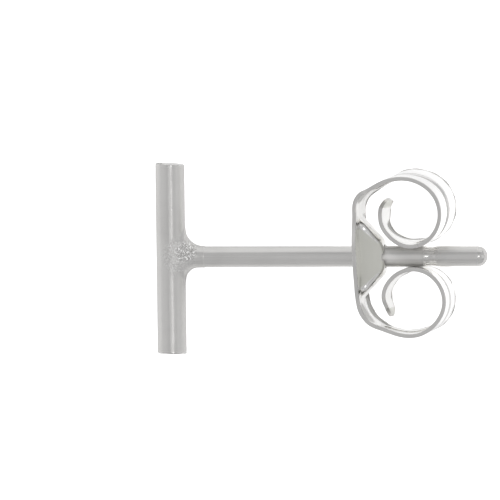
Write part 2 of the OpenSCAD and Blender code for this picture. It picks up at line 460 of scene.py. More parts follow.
def smoothed(p, edges, rounds, keep_on):
    """Evens out the spacing of the points, and puts them back on the surface."""
    count = np.bincount(edges.ravel(), minlength=len(p))[:, None]
    for _ in range(rounds):
        total = np.zeros_like(p)
        for k in range(3):
            total[:, k] = (np.bincount(edges[:, 0], p[edges[:, 1], k], len(p))
                           + np.bincount(edges[:, 1], p[edges[:, 0], k], len(p)))
        p = pull_onto(keep_on, p + 0.5 * (total / count - p), 1)
    return p


def mesh_normals(points, faces):
    """Normals of a mesh at its points."""
    mesh = bpy.data.meshes.new("measure")
    mesh.from_pydata(points.tolist(), [], faces)
    n = np.empty(len(points) * 3)
    mesh.vertex_normals.foreach_get("vector", n)
    bpy.data.meshes.remove(mesh)
    return n.reshape(-1, 3)


def piece(name, points, faces, normals, body, node, material, attributes):
    """A shown mesh in metres that stands for a CAD node."""
    mesh = bpy.data.meshes.new(name)
    mesh.from_pydata((points * MM).tolist(), [], faces)
    for key, values in attributes.items():
        vector = np.ndim(values) > 1
        layer = mesh.attributes.new(key, "FLOAT_VECTOR" if vector else "FLOAT", "POINT")
        layer.data.foreach_set("vector" if vector else "value",
                               np.asarray(values, np.float32).ravel())
    mesh.shade_smooth()
    mesh.normals_split_custom_set_from_vertices(normals.tolist())
    mesh.materials.append(material)
    obj = show(bpy.data.objects.new(name, mesh))
    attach(obj, body)
    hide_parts(node)


def grains_of(uvw, spot):
    """How strong the grains of a spot are, from 0 to 1."""
    at_u, at_v, half_u, half_v, strength, loss = spot
    level = np.hypot((uvw[:, 0] - at_u) / half_u, (uvw[:, 1] - at_v) / half_v)
    return ease(strength - loss * level)


def make_stud(material):
    """The bar and the post in one surface."""
    points, faces = remeshed(*rough_stud(), STUD_VOXEL)
    quads = np.array(faces)
    edges = np.concatenate([quads[:, [k, (k + 1) % 4]] for k in range(4)])
    edges = np.unique(np.sort(edges, 1), axis=0)
    points = pull_onto(stud_distance, points, 4)
    points = smoothed(points, edges, 4, stud_distance)
    points = pull_onto(stud_distance, points, 2)
    normals = unit(gradient(stud_distance, points))
    # The solder froze with pits and grains, most of them on top
    uvw = from_frame(points)
    rough = np.maximum(grains_of(uvw, GRAIN_SPOT), PATCH_SHARE * grains_of(uvw, GRAIN_PATCH))
    rough *= np.where(uvw[:, 2] > GRAIN_LOW_W, 1, 0.5)
    found = np.nonzero(rough > 0.01)[0]
    grain = sum(share * noise_at(points[found], scale, seed)
                for scale, seed, share in GRAIN_NOISES)
    lift = np.zeros(len(points))
    lift[found] = rough[found] * GRAIN_H * grain
    points = points + normals * lift[:, None]
    share = ease(rough * 6)[:, None]
    normals = unit(normals * (1 - share) + mesh_normals(points, faces) * share)
    # The friction groove, the tip and the bar's rims were worked smooth
    u = uvw[:, 0]
    along = np.abs((points - BAR_AT) @ BAR_DIR + POST_OFFSET)
    burnish = np.maximum.reduce([
        ease(GROOVE_SMOOTH - np.abs(u - GROOVE_AT) / (GROOVE_L / 2)),
        ease((u - POST_L + TIP_SMOOTH) / TIP_SMOOTH_FADE),
        ease((along - BAR_L / 2 + RIM_SMOOTH) / RIM_SMOOTH_FADE),
    ])
    # Where the post is polished, and painted lighter against the shade between the scrolls
    slid_and_lit = within(u, SLID_AND_LIT_FROM, SLID_AND_LIT_TO, SLID_AND_LIT_FADE, SLID_AND_LIT_FADE)
    piece("stud_in_drawn_silver", points, faces, normals, "stud", "bar_and_post",
          material,
          {"rough": rough, "burnish": burnish, "slid_and_lit": slid_and_lit, "place": uvw * MM})


class Strip:
    """The middle line of one half of the back, seen from the edge of the sheet."""

    STEP = 0.01
    BLUR = 0.1
    # Steps from the plate's middle over which the strip only goes away from the post
    LEAVING = 260

    def __init__(self, stretches):
        lift = 0
        for _ in range(3):
            self.lay(stretches, lift)
            scroll = self.v[self.u > SCROLL_START]
            # The groove pressed into the scroll lies round the post
            lift += POST_R + GRIP_GAP + SHEET_T / 2 - CREASE_DEPTH - scroll.min()

    def lay(self, stretches, lift):
        """Works out the line, with its first stretch made longer by lift."""
        bends = []
        for i, (length, turn) in enumerate(stretches):
            length += lift if i == 0 else 0
            n = round(length / self.STEP)
            bends += [turn / n] * n
        blur = np.hanning(round(2 * self.BLUR / self.STEP) + 1)
        bends = np.convolve(bends, blur / blur.sum(), "same")
        heading = np.radians(90 - np.concatenate([[0], np.cumsum(bends)]))
        middle = (heading[1:] + heading[:-1]) / 2
        along, away = (np.concatenate([[0], np.cumsum(f(middle))]) for f in (np.cos, np.sin))
        self.s = np.arange(len(heading)) * self.STEP
        self.u = PLATE_AT + SHEET_T / 2 + along * self.STEP
        self.v = away * self.STEP
        self.heading = heading
        self.length = self.s[-1]


upper, lower = Strip(UPPER_STRETCHES), Strip(LOWER_STRETCHES)


def on_half(s, of_upper, of_lower):
    """The value for the half of the strip that each place s is on."""
    return np.where(s >= 0, of_upper, of_lower)


def place_u(s):
    """Distance u along the post of places on the sheet."""
    a = np.abs(s)
    return on_half(s, np.interp(a, upper.s, upper.u), np.interp(a, lower.s, lower.u))


def place_v(s):
    """Distance v from the post, along the bar, of places on the sheet."""
    a = np.abs(s)
    return on_half(s, np.interp(a, upper.s, upper.v), -np.interp(a, lower.s, lower.v))


def place_s(v):
    """The other way round, for places on the plate and its necks."""
    of_upper, of_lower = (np.interp(np.abs(v), strip.v[:strip.LEAVING], strip.s[:strip.LEAVING])
                          for strip in (upper, lower))
    return np.where(v > 0, of_upper, -of_lower)


def width_at(a, table):
    """Half width of the sheet at distances a from the middle of the plate."""
    plate = NECK_HALF_W + (PLATE_HALF_W - NECK_HALF_W) * hump(0.5 + 0.5 * a / PLATE_HALF_L)
    width = np.where(a < PLATE_HALF_L, plate, table[-1][1])
    for (a0, w0), (a1, w1) in zip(table, table[1:]):
        inside = (a >= a0) & (a < a1)
        width = np.where(inside, w0 + (w1 - w0) * ease((a - a0) / (a1 - a0)), width)
    return width


def half_width(s):
    """Half width of the sheet at places s."""
    a = np.abs(s)
    return on_half(s, width_at(a, UPPER_WIDTHS), width_at(a, LOWER_WIDTHS))


def between(a, table, column):
    """The value at a of a column of a table, eased from row to row."""
    value = np.full(np.shape(a), float(table[-1][column]))
    for row, after in reversed(list(zip(table, table[1:]))):
        part = ease((a - row[0]) / (after[0] - row[0]))
        value = np.where(a < after[0], row[column] + (after[column] - row[column]) * part, value)
    return value


def dimple_ramps(v, w):
    """Heights of the dimple's cone and of its two flat sides above the plate, not yet cut off."""
    cone = DIMPLE_H - CONE_DROP - (np.hypot(v, w) - DIMPLE_TOP_R) / CONE_SLOPE
    sides = DIMPLE_H - SIDE_DROP - (np.abs(w) - DIMPLE_TOP_HALF_W) / SIDE_SLOPE
    return cone, sides


def dimple_height(v, w):
    """Height of the sheet's middle above the flat plate."""
    ridge = smooth_min(*dimple_ramps(v, w), CREASE_BLEND)
    return smooth_min(smooth_max(ridge, 0, FOOT_BLEND), DIMPLE_H, TOP_BLEND)


def drawn_steep(v, w, edge):
    """Where places w across the sheet come to lie when the dimple's sides are steep."""
    x = np.abs(w)
    foot_to_edge = (edge - STEEP_FOOT_W) / np.maximum(edge - FLAT_FOOT_W, 0.02)
    moved = np.where(x < FLAT_FOOT_W,
                     np.interp(x, [0, FLAT_TOP_W, FLAT_FOOT_W], [0, STEEP_TOP_W, STEEP_FOOT_W]),
                     STEEP_FOOT_W + (x - FLAT_FOOT_W) * foot_to_edge)
    return np.sign(w) * (x + (moved - x) * ease((STEEP_END - np.abs(v)) / STEEP_FADE))


def crease_at(s):
    """Where across the sheet the middle of the groove is."""
    shift = on_half(s, CREASE_TOP, 0)
    return CREASE_AT + shift * ease((CREASE_TOP_END - np.abs(s)) / CREASE_TOP_FADE)


def sheet_point(s, w):
    """Where the middle of the sheet is, in u, v and w, for places s along it and w across it."""
    a = np.abs(s)
    u, v = place_u(s), place_v(s)
    h = on_half(s, np.interp(a, upper.s, upper.heading), np.interp(a, lower.s, lower.heading))
    normal_u, normal_v = -np.sin(h), on_half(s, np.cos(h), -np.cos(h))
    length = on_half(s, upper.length, lower.length)
    along = within(a, CREASE_START, length - CREASE_STOP, CREASE_FADE_IN, CREASE_FADE_OUT)
    off = np.abs(w - crease_at(s)) - CREASE_HALF_W
    flank = on_half(s, UPPER_FLANK, LOWER_FLANK)
    crease = 1 - ease((off + flank / 2) / flank)
    wave = WAVE_H * np.sin(a * 2.1 + w * 1.3 + 0.5) * np.sin(a * 0.83 - w * 2.2)
    press = -(CREASE_DEPTH * along * crease) + wave * ease(a - WAVE_START)
    drift_u, drift_v = (-w * on_half(s, between(a, UPPER_DRIFT, k), between(a, LOWER_DRIFT, k))
                        for k in (1, 2))
    on_plate = a < PLATE_REACH
    dimple = np.where(on_plate, dimple_height(v, w), 0)
    curl = on_half(s, END_CURL, 0) * np.clip((a - length + END_CURL_L) / END_CURL_L, 0, 1) ** 2
    edge = width_at(a, UPPER_WIDTHS) - EDGE_R
    across = np.where(on_plate, drawn_steep(v, w, edge), w)
    return np.stack([u + press * normal_u + drift_u + dimple + curl,
                     v + press * normal_v + drift_v, across], -1)


def sheet_normal(s, w, step=0.003):
    """Normals of the sheet, on its inner face."""
    ds = sheet_point(s + step, w) - sheet_point(s - step, w)
    dw = sheet_point(s, w + step) - sheet_point(s, w - step)
    return unit(np.cross(ds, dw))


# How far along the sheet the rings of points round the hole reach, the points on each of
# their sides along it, the step from row to row beyond them, and the quads across
PATCH_L = 1.78
PATCH_POINTS = 47
ROW_STEP = 0.07
COLUMNS = 58
# How much closer together the columns are at the groove's flanks and at the sheet's
# edges, and over what distance
FLANK_CROWD = (4, 0.07)
EDGE_CROWD = (1.5, 0.06)
# Distance over which the columns start to follow the groove
FOLLOW_L = 0.8
# Radii of the round rings: on the dimple's top, on its sides, and beyond its foot
ROUND_R = 1.585
RING_RADII = [
    HOLE_R + EDGE_R, *np.linspace(HOLE_R + EDGE_R + 0.015, DIMPLE_TOP_R, 8),
    *np.linspace(0.66, 1.36, 18), *np.linspace(1.4, ROUND_R, 8),
]


def column_places():
    """Places across the sheet from -1 to 1, closest at the groove's flanks and the edges."""
    w = np.linspace(-SCROLL_HALF_W, SCROLL_HALF_W, 1401)
    crowd = 1.0
    for middle, (share, reach) in ((CREASE_AT - CREASE_HALF_W, FLANK_CROWD),
                                   (CREASE_AT + CREASE_HALF_W, FLANK_CROWD),
                                   (-SCROLL_HALF_W, EDGE_CROWD), (SCROLL_HALF_W, EDGE_CROWD)):
        crowd = crowd + share * np.exp(-((w - middle) / reach) ** 2)
    total = np.cumsum(crowd)
    total = (total - total[0]) / (total[-1] - total[0])
    return np.interp(np.linspace(0, 1, COLUMNS + 1), total, w) / SCROLL_HALF_W


def quads_between(rings):
    """Quads from each ring of point numbers to the next."""
    quads = []
    for inner, outer in zip(rings, rings[1:]):
        for k in range(len(inner)):
            k2 = (k + 1) % len(inner)
            quads.append((inner[k], outer[k], outer[k2], inner[k2]))
    return quads


def plate_rings(columns):
    """Rings of points, as (v, w), round the hole, out to the plate's sides and its necks."""
    side_s = np.linspace(-PATCH_L, PATCH_L, PATCH_POINTS + 2)[1:-1]
    side_w = half_width(side_s) - EDGE_R
    neck_w = columns * (NECK_HALF_W - EDGE_R)
    neck_s = np.full(len(neck_w), PATCH_L)
    loop_s = np.concatenate([neck_s, side_s[::-1], -neck_s, side_s])
    loop_w = np.concatenate([neck_w, side_w[::-1], neck_w[::-1], -side_w])
    outer = np.stack([place_v(loop_s), loop_w], 1)
    away = unit(outer)
    rings = [away * r for r in RING_RADII]
    return rings + [away * ROUND_R + (outer - away * ROUND_R) * t for t in (0.5, 1)]


def flat_sheet():
    """The sheet before it is rolled: (s, w) of each point, and quads."""
    columns = column_places()
    points = []
    rings = []
    for ring in plate_rings(columns):
        start = sum(map(len, points))
        points.append(np.stack([place_s(ring[:, 0]), ring[:, 1]], 1))
        rings.append(list(range(start, start + len(ring))))
    quads = quads_between(rings)

    # The necks and scrolls, row by row, with the rows bent to round the inner ends
    of_row = COLUMNS + 1
    upper_row = rings[-1][:of_row]
    lower_row = rings[-1][of_row + PATCH_POINTS:][:of_row][::-1]
    for sign, strip, tongue, before in ((1, upper, UPPER_TONGUE, upper_row),
                                        (-1, lower, LOWER_TONGUE, lower_row)):
        end = strip.length - EDGE_R
        rows = np.linspace(PATCH_L, end, math.ceil((end - PATCH_L) / ROW_STEP) + 1)
        for a in rows[1:]:
            bend = ease((a - end + TONGUE_L) / TONGUE_L)
            places = sign * (a - np.where(columns < 0, *tongue) * bend * np.abs(columns) ** 3)
            narrower = TONGUE_NARROWING * ease((a - end + TONGUE_ROUND) / TONGUE_ROUND) ** 3
            w = columns * (half_width(places) - EDGE_R) * (1 - narrower)
            # The columns that are close together follow the groove
            follow = ease((a - PATCH_L) / FOLLOW_L) * (1 - columns ** 2)
            w = w + (crease_at(sign * a) - CREASE_AT) * follow
            start = sum(map(len, points))
            points.append(np.stack([places, w], 1))
            row = list(range(start, start + of_row))
            for j in range(COLUMNS):
                quad = (before[j], row[j], row[j + 1], before[j + 1])
                quads.append(quad if sign > 0 else quad[::-1])
            before = row
    return np.concatenate(points), quads


def boundary_loops(quads):
    """Lists of points round each free edge, with the sheet on the left."""
    sides = {(q[k], q[(k + 1) % 4]) for q in quads for k in range(4)}
    after = {a: b for a, b in sides if (b, a) not in sides}
    loops = []
    while after:
        first = next(iter(after))
        loop = [first]
        while after[loop[-1]] != first:
            loop.append(after[loop[-1]])
        for a in loop:
            del after[a]
        loops.append(loop)
    return loops


# Painted shade on the inner face, standing in for dark reflections in the necks' bends:
# place along the sheet and across it, half length, half width and strength of each patch
SHADE_PATCHES = [(2.35, 0.62, 0.35, 0.55, 0.8), (-2.2, 0.72, 0.5, 0.55, 0.7)]
# Where a patch of painted shade ends and over what it fades, both as shares of its half
# length and width
SHADE_PATCH_RIM = 1.2
SHADE_PATCH_FADE = 0.4
# Place along the sheet, and width there of the band of painted shade along the inner
# face's farther edge, standing in for the dark reflections there
UPPER_SHADE_BAND = [
    (1.6, 0), (2.3, 0.25), (3.0, 0.1), (4.0, 0), (7.9, 0), (8.7, 0.55), (9.6, 0.85), (9.95, 0),
]
LOWER_SHADE_BAND = [(0.3, 0), (0.9, 0.75), (2.2, 0.75), (3.6, 0.6), (4.6, 0)]
SHADE_BAND_FADE = 0.12
# Painted shade in the upper scroll's groove, on its outer face: its strength, where it
# ends, and how it fades
GROOVE_SHADE = 0.3
GROOVE_SHADE_END = 8
GROOVE_SHADE_FADE = 0.05


def painted_shade_of(s, w, face):
    """How much painted shade the inner face (1) or the outer face (-1) has, from 0 to 1."""
    a = np.abs(s)
    if face < 0:
        along = within(a, CREASE_START, GROOVE_SHADE_END, CREASE_FADE_IN, CREASE_FADE_OUT)
        in_groove = ease((CREASE_HALF_W - np.abs(w - crease_at(s))) / GROOVE_SHADE_FADE)
        return on_half(s, GROOVE_SHADE, 0) * along * in_groove
    band = on_half(s, between(a, UPPER_SHADE_BAND, 1), between(a, LOWER_SHADE_BAND, 1))
    from_edge = w + half_width(s)
    total = ease((band - from_edge) / SHADE_BAND_FADE + 0.5) * ease(band / SHADE_BAND_FADE)
    for at_s, at_w, half_l, half_w, strength in SHADE_PATCHES:
        level = np.hypot((s - at_s) / half_l, (w - at_w) / half_w)
        total = np.maximum(total, strength * ease((SHADE_PATCH_RIM - level) / SHADE_PATCH_FADE))
    return total


# How far the dull surface of the dimple's flat sides reaches onto the cone, how high over
# the plate it starts, and how gradually
DULL_REACH = 0.12
DULL_REACH_FADE = 0.06
DULL_FOOT = 0.01
DULL_FOOT_FADE = 0.05
# How dull the inner ends are, how far from the tip, and how gradually that starts
END_DULL = 0.8
END_DULL_L = 0.36
END_DULL_FADE = 0.1


def dulled(s, w):
    """How dull the punch left the dimple's flat sides, and the rolling tool the inner ends."""
    cone, sides = dimple_ramps(place_v(s), w)
    on_sides = (ease((cone - sides + DULL_REACH) / DULL_REACH_FADE)
                * ease((sides - DULL_FOOT) / DULL_FOOT_FADE))
    left = on_half(s, upper.length, lower.length) - np.abs(s)
    return np.maximum(np.where(np.abs(s) < PLATE_REACH, on_sides, 0),
                      END_DULL * ease((END_DULL_L - left) / END_DULL_FADE))


class Surface:
    """The points of the back, with what its material needs to know of each."""

    def __init__(self):
        self.layers = {}
        self.count = 0

    def add(self, **layers):
        """Adds points, and gives their numbers."""
        start = self.count
        self.count += len(layers["points"])
        for key, values in layers.items():
            if np.ndim(values) == 0:
                values = np.full(self.count - start, float(values))
            self.layers.setdefault(key, []).append(values)
        return list(range(start, self.count))

    def joined(self, key):
        """One layer, for all the points."""
        return np.concatenate(self.layers[key])


# Angles of the rings of points that round the sheet's edge, from its face
EDGE_ANGLES = np.radians([30, 60, 90])
# The press left the sheet's farther edges spread into a small lip on both faces: its
# height, how unevenly that runs, how far down an edge faces where the lip starts, and how
# much farther down where it has its full height
LIP = 0.034
LIP_UNEVEN = 0.3
LIP_FROM = 0.2
LIP_FADE = 0.5


def round_edge(surface, loop, flat, middle, normal, dull):
    """Rounds the sheet's edge along a loop of points, and gives the quads across it."""
    loop = np.array(loop)
    along = unit(np.roll(middle[loop], -1, 0) - np.roll(middle[loop], 1, 0))
    out = unit(np.cross(along, normal[loop]))
    far = ease((-out[:, 2] - LIP_FROM) / LIP_FADE)
    s = flat[loop, 0]
    uneven = LIP_UNEVEN * np.sin(s * 3.1) * np.sin(s * 7.7 + 1)
    lip = far * (1 - LIP_UNEVEN + uneven) * LIP
    rings = [loop.tolist()]
    for face in (1, -1):
        for angle in EDGE_ANGLES[::face]:
            sin, cos = math.sin(angle), math.cos(angle)
            lift = SHEET_T / 2 - EDGE_R + EDGE_R * cos
            lift = face * (lift + lip * sin ** 2 + far * EDGE_R * (1 - cos))[:, None]
            rings.append(surface.add(
                points=middle[loop] + out * EDGE_R * sin + normal[loop] * lift,
                normals=out * sin + normal[loop] * (face * cos),
                place=np.c_[flat[loop], lift], edge=sin, lipped=far,
                worked=dull[loop] * (1 - sin), tarnish=0, pressed=0))
    rings.append((loop + len(flat)).tolist())
    return quads_between(rings)


# Where the press left lines on the inner face of the plate and its necks: from and to
# which distance along the sheet, and how gradually they start and end
PRESSED = (0.5, 2.7, 0.3, 0.5)


def make_back(material):
    """The rolled sheet, with its two faces and its rounded edges in one surface."""
    flat, quads = flat_sheet()
    s, w = flat.T
    middle, normal = sheet_point(s, w), sheet_normal(s, w)
    a, b, c = (middle[[q[k] for q in quads]] for k in range(3))
    turned = (np.cross(b - a, c - b) * normal[[q[0] for q in quads]]).sum(1)
    if np.median(turned) < 0:
        quads = [q[::-1] for q in quads]
    dull = dulled(s, w)
    pressed = within(np.abs(s), *PRESSED) * (1 - dull)
    surface = Surface()
    for face in (1, -1):
        height = face * SHEET_T / 2
        # Each face takes along how much painted shade it has
        surface.add(points=middle + normal * height, normals=face * normal,
                    place=np.c_[flat, np.full(len(flat), height)], edge=0, lipped=0,
                    worked=dull, tarnish=painted_shade_of(s, w, face),
                    pressed=pressed if face > 0 else 0)
    faces = quads + [tuple(i + len(flat) for i in q[::-1]) for q in quads]
    for loop in boundary_loops(quads):
        faces += round_edge(surface, loop, flat, middle, normal, dull)
    points, normals = surface.joined("points"), unit(surface.joined("normals"))
    lipped = surface.joined("lipped")[:, None]
    normals = unit(normals * (1 - lipped) + mesh_normals(points, faces) * lipped)
    attributes = {key: surface.joined(key) for key in ("edge", "worked", "tarnish", "pressed")}
    attributes["place"] = surface.joined("place") * MM
    piece("butterfly_in_rolled_sheet", to_frame(points), faces, to_frame(normals) - BAR_AT,
          "back", "butterfly_back", material, attributes)


class Nodes:
    """Short calls for building one material."""

    def __init__(self, name):
        self.material = bpy.data.materials.new(name)
        self.material.use_nodes = True
        self.tree = self.material.node_tree
        self.shader = self.tree.nodes["Principled BSDF"]

    def give(self, node, key, value):
        """Sets an input, given by its name or number, to a value or to what a node puts out."""
        socket = node.inputs[key]
        if isinstance(value, bpy.types.NodeSocket):
            self.tree.links.new(value, socket)
        else:
            socket.default_value = value

    def add(self, kind, **inputs):
        node = self.tree.nodes.new(kind)
        for key, value in inputs.items():
            self.give(node, key, value)
        return node

    def math(self, operation, a, b=0.0):
        node = self.add("ShaderNodeMath")
        node.operation = operation
        self.give(node, 0, a)
        self.give(node, 1, b)
        return node.outputs[0]

    def attribute(self, name, output="Fac"):
        node = self.add("ShaderNodeAttribute")
        node.attribute_name = name
        return node.outputs[output]

    def stretched(self, vector, scale):
        """Coordinates whose noise is fine along the axes that have a large scale."""
        node = self.add("ShaderNodeMapping", Vector=vector, Scale=scale)
        return node.outputs["Vector"]

    def noise(self, vector, scale, detail=2.0, rough=0.5):
        node = self.add("ShaderNodeTexNoise", Vector=vector, Scale=scale, Detail=detail,
                        Roughness=rough)
        return node.outputs["Fac"]

    def spread(self, value, low, high, to_low, to_high):
        """The value's range from low to high, spread over to_low to to_high."""
        node = self.add("ShaderNodeMapRange", Value=value)
        for key, number in (("From Min", low), ("From Max", high),
                            ("To Min", to_low), ("To Max", to_high)):
            self.give(node, key, number)
        return node.outputs["Result"]

    def mix(self, factor, a, b):
        """Colour a where the factor is 0, and b where it is 1."""
        node = self.add("ShaderNodeMix")
        node.data_type = "RGBA"
        # The node's inputs 6 and 7 and its output 2 are the ones for colours
        self.give(node, 0, factor)
        self.give(node, 6, a)
        self.give(node, 7, b)
        return node.outputs[2]

    def bump(self, height, distance, under=None):
        """Relief of a height in metres, on top of the relief under it."""
        node = self.add("ShaderNodeBump", Height=height, Distance=distance)
        if under is not None:
            self.give(node, "Normal", under)
        return node.outputs["Normal"]


SILVER = (0.78, 0.772, 0.752, 1)
SILVER_DULL = (0.66, 0.652, 0.632, 1)
# Painted light: the lighter tone of the post between the scrolls
SILVER_PAINTED_LIGHT = (0.92, 0.91, 0.885, 1)
SILVER_STREAK = (0.52, 0.515, 0.5, 1)
SILVER_PIT = (0.33, 0.325, 0.31, 1)
# Painted glints: the white of the specks on the solder
PAINTED_GLINT_WHITE = (0.97, 0.97, 0.96, 1)
# Places along the post between which the lines along the bar give way to those along it
LINES_TURN = (0.55 * MM, 0.9 * MM)
# Scales of noise, per metre: one number, or one for each of u, v and w
BAR_LINES_SCALE = (9000, 260, 9000)
POST_LINES_SCALE = (260, 9000, 9000)
STREAKS_SCALE = (90, 11000, 11000)
GRAINS_SCALE = 22000
PAINTED_GLINTS_SCALE = 17000
STAIN_SCALE = 900
# Roughness between the lines and on them, what solder and burnished metal have less,
# and what the polished stretch of the post has more, where it is also less metallic; with
# its lighter colour that is painted light, standing in for light the shade there takes away
LINES_ROUGHNESS = (0.3, 0.4)
SOLDER_SMOOTHER = 0.1
BURNISH_SMOOTHER = 0.22
SLID_ROUGHER = 0.12
PAINTED_LIGHT_LESS_METALLIC = 0.35
# Height of the relief that the lines and the grains have
LINES_RELIEF = 0.0035 * MM
GRAINS_RELIEF = 0.035 * MM


def drawn_silver():
    """Wire with lines along it, stained a little, grainy at the solder with painted glints, and
    painted lighter between the scrolls.
    """
    n = Nodes("drawn_silver")
    place = n.attribute("place", "Vector")
    rough = n.attribute("rough")
    slid_and_lit = n.attribute("slid_and_lit")
    bar_lines = n.noise(n.stretched(place, BAR_LINES_SCALE), 1.0, 3.0, 0.6)
    post_lines = n.noise(n.stretched(place, POST_LINES_SCALE), 1.0, 3.0, 0.6)
    parts = n.add("ShaderNodeSeparateXYZ", Vector=place)
    on_post = n.spread(parts.outputs["X"], *LINES_TURN, 0, 1)
    lines = n.mix(on_post, bar_lines, post_lines)
    grains = n.noise(place, GRAINS_SCALE, 3.0, 0.6)
    # Painted glints: white specks between the grains, standing in for the solder's glints
    painted_glints = n.spread(n.noise(place, PAINTED_GLINTS_SCALE, 1.0, 0.5), 0.56, 0.62, 0, 1)
    painted_glints = n.math("MULTIPLY", rough, painted_glints)

    stain = n.noise(place, STAIN_SCALE, 4.0, 0.6)
    tone = n.mix(n.spread(stain, 0.45, 0.75, 0, 0.4), SILVER, SILVER_DULL)
    # Painted light: the stretch between the scrolls is lighter, against the shade there
    tone = n.mix(slid_and_lit, tone, SILVER_PAINTED_LIGHT)
    streaks = n.noise(n.stretched(place, STREAKS_SCALE), 1.0, 2.0, 0.5)
    streaked = n.math("MULTIPLY", on_post, n.spread(streaks, 0.48, 0.66, 0, 0.45))
    tone = n.mix(streaked, tone, SILVER_STREAK)
    pits = n.math("MULTIPLY", rough, n.spread(grains, 0.5, 0.62, 0, 0.75))
    tone = n.mix(pits, tone, SILVER_PIT)
    n.give(n.shader, "Base Color", n.mix(painted_glints, tone, PAINTED_GLINT_WHITE))

    # Less metallic on that stretch, which lightens it too, and not metallic in the painted glints
    bare = n.math("SUBTRACT", 1.0, n.math("MULTIPLY", slid_and_lit, PAINTED_LIGHT_LESS_METALLIC))
    n.give(n.shader, "Metallic", n.math("SUBTRACT", bare, painted_glints))

    lined = n.spread(lines, 0.3, 0.7, *LINES_ROUGHNESS)
    lined = n.math("SUBTRACT", lined, n.math("MULTIPLY", rough, SOLDER_SMOOTHER))
    smooth = n.math("MULTIPLY", n.attribute("burnish"), BURNISH_SMOOTHER)
    smooth = n.math("SUBTRACT", smooth, n.math("MULTIPLY", slid_and_lit, SLID_ROUGHER))
    n.give(n.shader, "Roughness", n.math("SUBTRACT", lined, smooth))

    normal = n.bump(lines, LINES_RELIEF)
    grainy = n.math("MULTIPLY", grains, rough)
    n.give(n.shader, "Normal", n.bump(grainy, GRAINS_RELIEF, normal))
    return n.material


SHEET_BRIGHT = (0.95, 0.945, 0.93, 1)
SHEET_DULL = (0.83, 0.83, 0.77, 1)
SHEET_EDGE = (0.75, 0.742, 0.722, 1)
# Colour of the painted shade, which the press lines darken the sheet to as well
SHEET_SHADE_AND_LINES = (0.45, 0.445, 0.43, 1)
# What bare metal reflects at a grazing angle, and metal under the painted shade and the
# press lines
BARE_TINT = (1, 1, 1, 1)
SHADE_AND_LINES_TINT = (0.62, 0.62, 0.61, 1)
# Scales of noise, per metre: one number, or one for each of s, w and the way through
ROLLED_SCALE = (350, 7000, 900)
SHEARED_SCALE = (9000, 9000, 1500)
PRESS_SCALE = (280, 3200, 300)
CLOUDS_SCALE = 800
# Roughness of the faces, what a sheared edge has more, and what worked metal has more,
# which also is less metallic
FACE_ROUGHNESS = (0.13, 0.22)
EDGE_ROUGHER = (0.12, 0.26)
WORKED_ROUGHER = 0.45
WORKED_METALLIC = 0.85
# Height of the relief of the scratches and of the slow waves
SCRATCH_RELIEF = 0.0025 * MM
CLOUDS_RELIEF = 0.012 * MM


def stamped_silver():
    """Rolled sheet with bright faces, fine scratches, press lines, painted shade and dull sheared
    edges.
    """
    n = Nodes("stamped_silver")
    place = n.attribute("place", "Vector")
    worked = n.attribute("worked")
    edge = n.spread(n.attribute("edge"), 0.3, 0.9, 0, 1)
    rolled = n.noise(n.stretched(place, ROLLED_SCALE), 1.0, 3.0, 0.6)
    sheared = n.noise(n.stretched(place, SHEARED_SCALE), 1.0, 3.0, 0.6)
    cloudy = n.noise(place, CLOUDS_SCALE, 4.0, 0.6)
    press_lines = n.noise(n.stretched(place, PRESS_SCALE), 1.0, 3.0, 0.7)
    lined = n.math("MULTIPLY", n.attribute("pressed"), n.spread(press_lines, 0.48, 0.66, 0, 0.75))
    # Painted shade, with the press lines joined to it
    tarnish = n.math("MAXIMUM", n.attribute("tarnish"), lined)

    tone = n.mix(n.spread(cloudy, 0.45, 0.8, 0, 0.3), SHEET_BRIGHT, SILVER)
    tone = n.mix(n.math("MULTIPLY", worked, 0.9), tone, SHEET_DULL)
    # The painted shade darkens the tone
    tone = n.mix(tarnish, tone, SHEET_SHADE_AND_LINES)
    n.give(n.shader, "Base Color", n.mix(edge, tone, SHEET_EDGE))
    n.give(n.shader, "Specular Tint", n.mix(tarnish, BARE_TINT, SHADE_AND_LINES_TINT))
    n.give(n.shader, "Metallic", n.spread(worked, 0, 1, 1, WORKED_METALLIC))

    face = n.spread(rolled, 0.3, 0.7, *FACE_ROUGHNESS)
    dull = n.math("MULTIPLY", edge, n.spread(sheared, 0.3, 0.7, *EDGE_ROUGHER))
    dull = n.math("ADD", dull, n.math("MULTIPLY", worked, WORKED_ROUGHER))
    n.give(n.shader, "Roughness", n.math("ADD", face, dull))

    normal = n.bump(n.mix(edge, rolled, sheared), SCRATCH_RELIEF)
    n.give(n.shader, "Normal", n.bump(cloudy, CLOUDS_RELIEF, normal))
    return n.material


FLOOR_WHITE = 0.85
# Half the floor's side, in metres
FLOOR_HALF = 1.5
# Light from below the surface: as the picture shows it, and as the metal sees it,
# in general and in the spot under the butterfly back that keeps its thin walls light
GLOW_SHOWN = 1.0
GLOW_SEEN = 0.05
GLOW_SPOT = 0.62
SPOT_AT = (3.9 * MM, 0, 0)
SPOT_FROM = 2.4 * MM
SPOT_TO = 4.4 * MM


